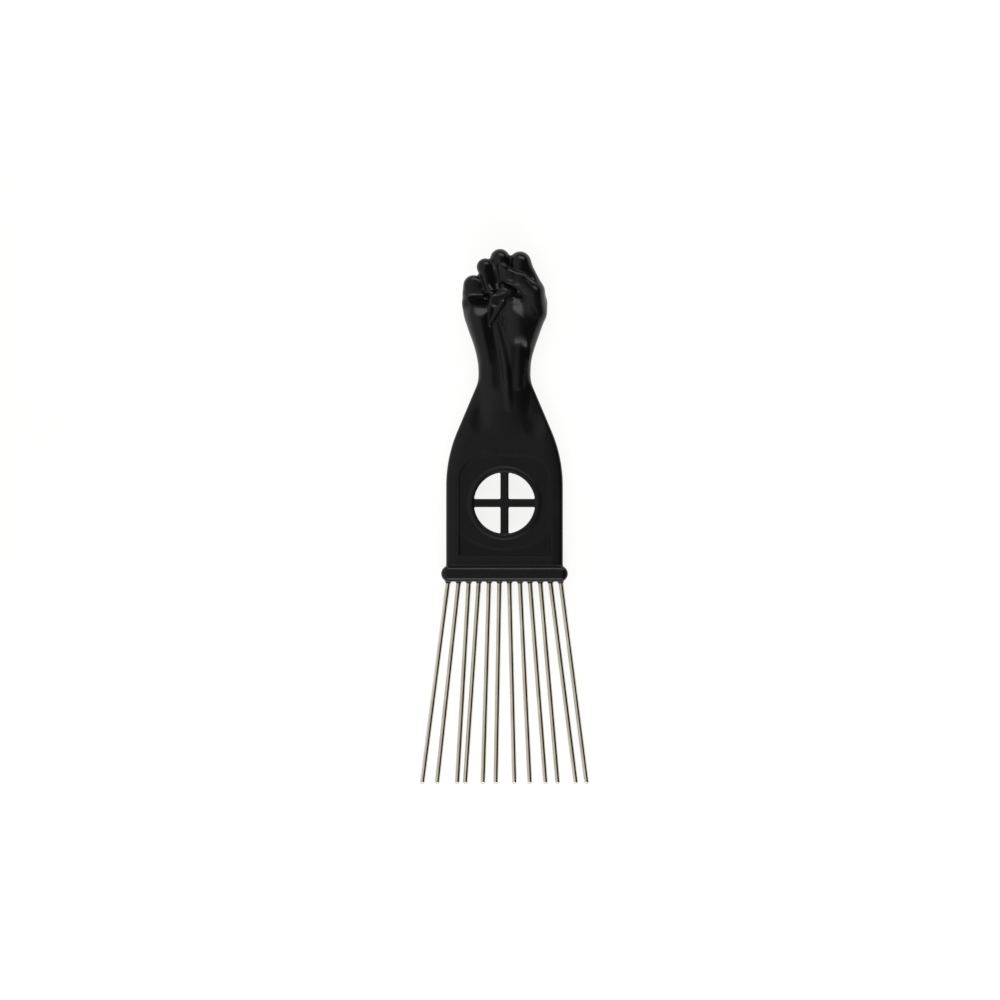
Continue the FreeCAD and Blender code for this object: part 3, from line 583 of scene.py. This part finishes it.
# Skin of the mould, hairline marks, and the fine ridge where the two halves of the mould met
off_middle = maths(tree, "ABSOLUTE", maths(tree, "SUBTRACT", height, MIDDLE_Z * MM))
seam = spread(tree, off_middle, SEAM_TOP, SEAM_FOOT, 1.0, 0.0)
relief = maths(tree, "MULTIPLY_ADD", marks.outputs["Mark"], -0.5, noise(tree, place, 1100.0, 3.0))
relief = maths(tree, "MULTIPLY_ADD", seam, 1.5, relief)
bump = add_node(tree, "ShaderNodeBump", {"Strength": 0.12, "Distance": 0.08 * MM, "Height": relief})
tree.links.new(bump.outputs["Normal"], shader.inputs["Normal"])
handle_mesh.materials.clear()
handle_mesh.materials.append(plastic)
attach(handle, "root")
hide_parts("handle")

# Hairpins
# Six lengths of drawn steel wire with a warm plate, each bent into a U. The bend is cast into the tooth bar and
# the two legs are two of the twelve teeth, with half-round tips.
wire_low, wire_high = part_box("hairpin_1_bend")
WIRE_RADIUS = (wire_high.z - wire_low.z) / 2
WIRE_SIDES, TIP_RINGS, BEND_RINGS = 28, 9, 20
# Smallest square of a tip's radius, as a share of the wire's
LEAST_TIP = 0.0004
PLATE_DARK, PLATE_LIGHT = (0.78, 0.71, 0.62), (0.93, 0.88, 0.79)
STAIN_TONE, STAIN_SHARE = (0.36, 0.29, 0.21, 1), 0.6
STAIN_START, STAIN_FULL = 60 * MM, 69 * MM
WIRE_ROUGHNESS = (0.05, 0.10)
WIRE_HAIRLINES = (9000.0, 9000.0, 160.0)

steel, tree, shader = shader_of("plated_wire")
shader.inputs["Metallic"].default_value = 1.0
shader.inputs["Specular Tint"].default_value = (0.3, 0.26, 0.22, 1)
place = add_node(tree, "ShaderNodeTexCoord").outputs["Object"]
along = add_node(tree, "ShaderNodeAttribute", attribute_name="wire_place").outputs["Vector"]
tint = ramp(tree, noise(tree, place, 150.0, 3.0), (0.3, PLATE_DARK), (0.7, PLATE_LIGHT))
# Stain by the root, where the plate has dulled against the plastic
from_tip = add_node(tree, "ShaderNodeSeparateXYZ", {0: along}).outputs["Z"]
near_root = spread(tree, from_tip, STAIN_START, STAIN_FULL)
stain = maths(tree, "MULTIPLY", near_root, spread(tree, noise(tree, place, 400.0), 0.3, 0.7))
tint = blend(tree, maths(tree, "MULTIPLY", stain, STAIN_SHARE), tint, STAIN_TONE)
tree.links.new(tint, shader.inputs["Base Color"])
# Lines that the drawing die left along the wire
drawn = add_node(tree, "ShaderNodeGroup", node_tree=hairlines)
drawn.inputs["Stretch"].default_value = WIRE_HAIRLINES
tree.links.new(along, drawn.inputs["Place"])
rough = spread(tree, noise(tree, place, 300.0, 3.0), 0.3, 0.7, *WIRE_ROUGHNESS)
for mark, change in ((drawn.outputs["Mark"], 0.15), (stain, 0.12)):
    rough = maths(tree, "MULTIPLY_ADD", mark, change, rough)
tree.links.new(rough, shader.inputs["Roughness"])
bump = add_node(tree, "ShaderNodeBump", {"Strength": 0.15, "Distance": 0.02 * MM, "Height": drawn.outputs["Mark"]})
tree.links.new(bump.outputs["Normal"], shader.inputs["Normal"])

wire_tree = bpy.data.node_groups.new("bent_wire", "GeometryNodeTree")
sockets = wire_tree.interface
sockets.new_socket("Path", in_out="INPUT", socket_type="NodeSocketGeometry")
radius_socket = sockets.new_socket("Wire Radius", in_out="INPUT", socket_type="NodeSocketFloat")
finish_socket = sockets.new_socket("Finish", in_out="INPUT", socket_type="NodeSocketMaterial")
sockets.new_socket("Wire", in_out="OUTPUT", socket_type="NodeSocketGeometry")
given = wire_tree.nodes.new("NodeGroupInput")
radius = given.outputs["Wire Radius"]
# Distance to the nearer tip, as a share of the wire's radius, gives the half-round of the tip
spot = wire_tree.nodes.new("GeometryNodeSplineParameter").outputs
whole = wire_tree.nodes.new("GeometryNodeSplineLength").outputs["Length"]
to_tip = maths(wire_tree, "MINIMUM", spot["Length"], maths(wire_tree, "SUBTRACT", whole, spot["Length"]))
tip_share = maths(wire_tree, "MINIMUM", maths(wire_tree, "DIVIDE", to_tip, radius), 1.0)
inward = maths(wire_tree, "SUBTRACT", 1.0, tip_share)
square = maths(wire_tree, "SUBTRACT", 1.0, maths(wire_tree, "MULTIPLY", inward, inward))
tip_round = maths(wire_tree, "SQRT", maths(wire_tree, "MAXIMUM", square, LEAST_TIP))
circle = add_node(wire_tree, "GeometryNodeCurvePrimitiveCircle", {"Resolution": WIRE_SIDES, "Radius": radius})


def keep(geometry, value):
    """A path's geometry and a value that stays with it when it becomes a mesh."""
    made = wire_tree.nodes.new("GeometryNodeCaptureAttribute")
    made.capture_items.new("FLOAT", "Kept")
    wire_tree.links.new(geometry, made.inputs[0])
    wire_tree.links.new(value, made.inputs[1])
    return made.outputs[0], made.outputs[1]


path_curve, kept_to_tip = keep(given.outputs["Path"], to_tip)
ring_curve, kept_turn = keep(circle.outputs["Curve"], spot["Factor"])
tube = add_node(wire_tree, "GeometryNodeCurveToMesh", {
    "Curve": path_curve, "Profile Curve": ring_curve, "Scale": tip_round, "Fill Caps": True})
# Place on the wire: round it in X and Y, and the distance from the tip in Z
turn = maths(wire_tree, "MULTIPLY", kept_turn, 2 * math.pi)
place_on_wire = add_node(wire_tree, "ShaderNodeCombineXYZ", {
    "X": maths(wire_tree, "MULTIPLY", maths(wire_tree, "COSINE", turn), radius),
    "Y": maths(wire_tree, "MULTIPLY", maths(wire_tree, "SINE", turn), radius), "Z": kept_to_tip})
mapped = add_node(wire_tree, "GeometryNodeStoreNamedAttribute", {
    "Geometry": tube.outputs["Mesh"], "Name": "wire_place"}, data_type="FLOAT_VECTOR", domain="POINT")
wire_tree.links.new(place_on_wire.outputs["Vector"], mapped.inputs["Value"])
smooth = add_node(wire_tree, "GeometryNodeSetShadeSmooth", {"Geometry": mapped.outputs["Geometry"]})
painted = add_node(wire_tree, "GeometryNodeSetMaterial", {
    "Geometry": smooth.outputs["Geometry"], "Material": given.outputs["Finish"]})
add_node(wire_tree, "NodeGroupOutput", {"Wire": painted.outputs["Geometry"]})

# Steps by which the rings of a tip crowd towards its end, and the angles of the rings round the bend
tip_steps = [1 - math.cos(math.pi / 2 * step / TIP_RINGS) for step in range(TIP_RINGS + 1)]
angles = [math.pi * step / BEND_RINGS for step in range(BEND_RINGS + 1)]
for number in range(1, len(LEGS) // 2 + 1):
    names = [f"hairpin_{number}_{word}" for word in ("left_leg", "right_leg", "bend")]
    (left_root, left_tip), (right_root, right_tip) = (LEG_ENDS[name] for name in names[:2])
    centre = (left_root + right_root) / 2
    arm = (right_root - left_root) / 2
    up = np.array([-arm[1], arm[0], 0.0])
    left_way = (left_root - left_tip) / np.linalg.norm(left_root - left_tip)
    right_way = (right_root - right_tip) / np.linalg.norm(right_root - right_tip)
    route = [left_tip + left_way * (WIRE_RADIUS / MM) * step for step in tip_steps]
    route += [centre - arm * math.cos(angle) + up * math.sin(angle) for angle in angles]
    route += [right_tip + right_way * (WIRE_RADIUS / MM) * step for step in reversed(tip_steps)]
    curve = bpy.data.curves.new(f"hairpin_{number}_path", "CURVE")
    curve.dimensions = "3D"
    spline = curve.splines.new("POLY")
    spline.points.add(len(route) - 1)
    for point, stop in zip(spline.points, route):
        point.co = (*(stop * MM), 1.0)
    path = bpy.data.objects.new(curve.name, curve)
    bpy.context.scene.collection.objects.link(path)
    modifier = path.modifiers.new("bent_wire", "NODES")
    modifier.node_group = wire_tree
    modifier[radius_socket.identifier] = WIRE_RADIUS
    modifier[finish_socket.identifier] = steel
    depsgraph = bpy.context.evaluated_depsgraph_get()
    wire_mesh = bpy.data.meshes.new_from_object(path.evaluated_get(depsgraph))
    bpy.data.objects.remove(path)
    wire = bpy.data.objects.new(f"hairpin_wire_{number}", wire_mesh)
    bpy.context.scene.collection.objects.link(wire)
    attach(wire, "root")
    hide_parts(*names)

# Floor
# Plain white studio floor that the pick lies on. It shows white to the camera and in reflections, and a share of
# it is lit by the lamps, which keeps the pick's shadow.
FLOOR_HALF, FLOOR_Z = 12.0, -0.0002
FLOOR_TONE, FLOOR_GLOW_TINT, FLOOR_GLOW = (0.24, 0.24, 0.238, 1), (1, 1, 0.992, 1), 0.86
floor_corners = [(FLOOR_HALF * x, FLOOR_HALF * y, FLOOR_Z) for x, y in ((-1, -1), (1, -1), (1, 1), (-1, 1))]
floor_mesh = bpy.data.meshes.new("floor")
floor_mesh.from_pydata(floor_corners, [], [(0, 1, 2, 3)])
floor = bpy.data.objects.new("floor", floor_mesh)
bpy.context.scene.collection.objects.link(floor)
white, tree, shader = shader_of("white_floor")
shader.inputs["Base Color"].default_value = FLOOR_TONE
shader.inputs["Roughness"].default_value = 0.9
shader.inputs["Specular IOR Level"].default_value = 0.0
shader.inputs["Emission Color"].default_value = FLOOR_GLOW_TINT
rays = add_node(tree, "ShaderNodeLightPath").outputs
seen = maths(tree, "MAXIMUM", rays["Is Camera Ray"], rays["Is Glossy Ray"])
seen = maths(tree, "MAXIMUM", seen, rays["Is Transmission Ray"])
tree.links.new(maths(tree, "MULTIPLY", seen, FLOOR_GLOW), shader.inputs["Emission Strength"])
floor_mesh.materials.append(white)

# Studio light
# A dim white wall of light on the left that fades out past the zenith, so that the right sides stay dark, and two
# small softboxes above the fist and below the teeth for the highlights on the turned edges.
# Each softbox has its place, its size and its power.
SOFTBOXES = {
    "head_softbox": ((0.16, 0.60, 0.46), (0.7, 0.28), 2.1),
    "foot_softbox": ((0.05, -0.62, 0.42), (0.6, 0.26), 2.1),
}
for name, (place, size, power) in SOFTBOXES.items():
    lamp = bpy.data.lights.new(name, "AREA")
    lamp.shape = "RECTANGLE"
    lamp.size, lamp.size_y = size
    lamp.energy = power
    box = bpy.data.objects.new(name, lamp)
    bpy.context.scene.collection.objects.link(box)
    box.location = place
    box.rotation_mode = "QUATERNION"
    box.rotation_quaternion = (-box.location).to_track_quat("-Z", "Y")

WALL_WAY, WALL_FOOT, WALL_TOP = (-0.94, 0.0, 0.34), -0.12, 0.8
WALL_STOPS = (
    (0.0, (0.012, 0.011, 0.009)),
    (0.4, (0.21, 0.215, 0.21)),
    (0.5, (0.37, 0.38, 0.37)),
    (0.62, (0.46, 0.47, 0.46)),
    (1.0, (0.60, 0.61, 0.60)),
)
world = bpy.data.worlds.new("studio")
bpy.context.scene.world = world
world.use_nodes = True
tree = world.node_tree
direction = add_node(tree, "ShaderNodeTexCoord").outputs["Generated"]
leftward = add_node(tree, "ShaderNodeVectorMath", {0: direction, 1: WALL_WAY},
                    operation="DOT_PRODUCT").outputs["Value"]
wall = ramp(tree, spread(tree, leftward, WALL_FOOT, WALL_TOP), *WALL_STOPS)
tree.links.new(wall, tree.nodes["Background"].inputs["Color"])

# Camera
# Straight down on the pick's face, with the fist at the top of the picture. The aim and the width of the picture
# at the middle plane are in millimetres.
AIM_X, AIM_Y = -1.515, 5.573
PICTURE_WIDTH = 336.76
LENS, SENSOR = 100.0, 36.0
lens = bpy.data.cameras.new("camera")
lens.lens = LENS
lens.sensor_width = SENSOR
camera = bpy.data.objects.new("camera", lens)
bpy.context.scene.collection.objects.link(camera)
camera.location = (AIM_X * MM, AIM_Y * MM, (MIDDLE_Z + PICTURE_WIDTH * LENS / SENSOR) * MM)
bpy.context.scene.camera = camera
bpy.context.scene.view_settings.view_transform = "Standard"
